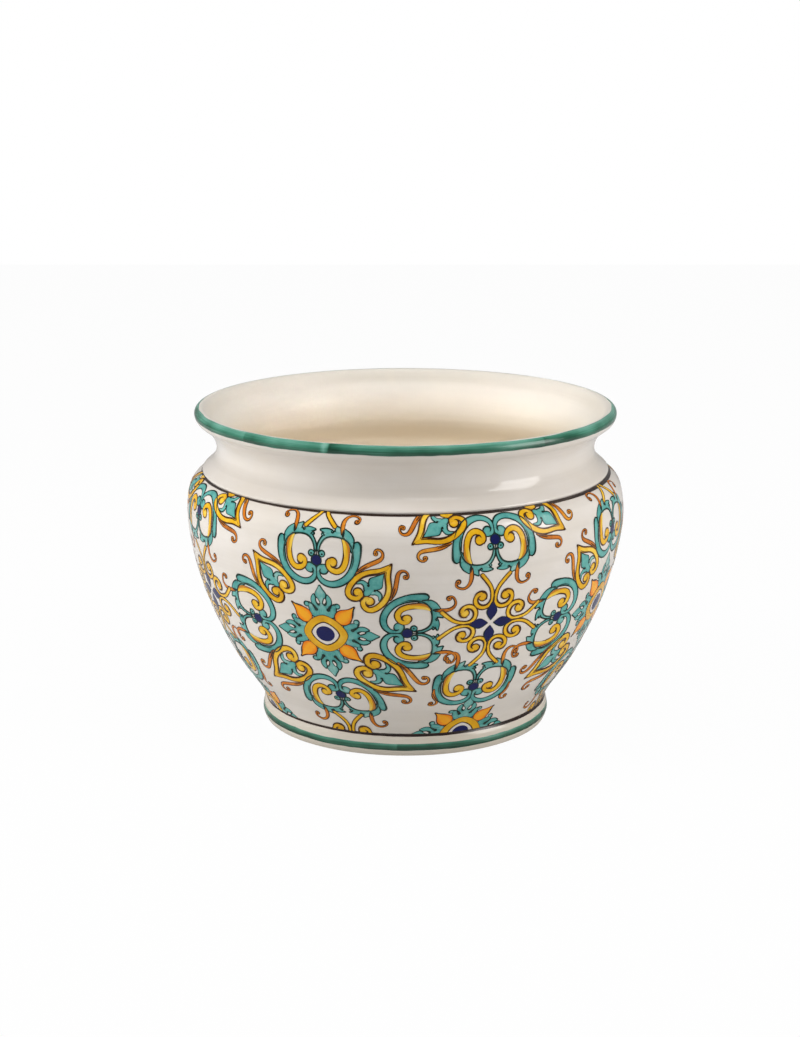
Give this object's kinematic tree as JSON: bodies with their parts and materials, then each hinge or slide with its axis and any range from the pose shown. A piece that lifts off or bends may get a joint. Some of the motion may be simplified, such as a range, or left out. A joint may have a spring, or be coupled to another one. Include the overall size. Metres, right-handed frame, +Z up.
{
  "type": "cachepot",
  "caption": "Round glazed earthenware cachepot with a bulging belly, a concave collar, a rolled rim and a foot ring; it hides a nursery pot and holds its run-off water.",
  "frame": {"origin": "centre of the resting plane, on the axis of the pot", "axes": "+Z up along the axis of the pot; the pot is round, so X and Y are free, and -Y faces the viewer of the picture"},
  "size_m": [0.3002, 0.3002, 0.22],
  "materials": {
    "clay": "bare fired earthenware, matt",
    "white_glaze": "glossy tin-white glaze",
    "cream_glaze": "glossy warm cream glaze",
    "green_glaze": "glossy brushed green",
    "dark_line_glaze": "glossy dark manganese brown"
  },
  "bodies": {
    "root": {"foot_ring": "clay", "bowl": "clay", "collar": "clay", "inner_glaze": "cream_glaze", "foot_edge_glaze": "white_glaze", "foot_green_band": "green_glaze", "foot_top_glaze": "white_glaze", "foot_dark_line": "dark_line_glaze", "belly_glaze": "white_glaze", "shoulder_dark_line": "dark_line_glaze", "collar_glaze": "white_glaze", "rim_green_band": "green_glaze"}
  },
  "joints": []
}
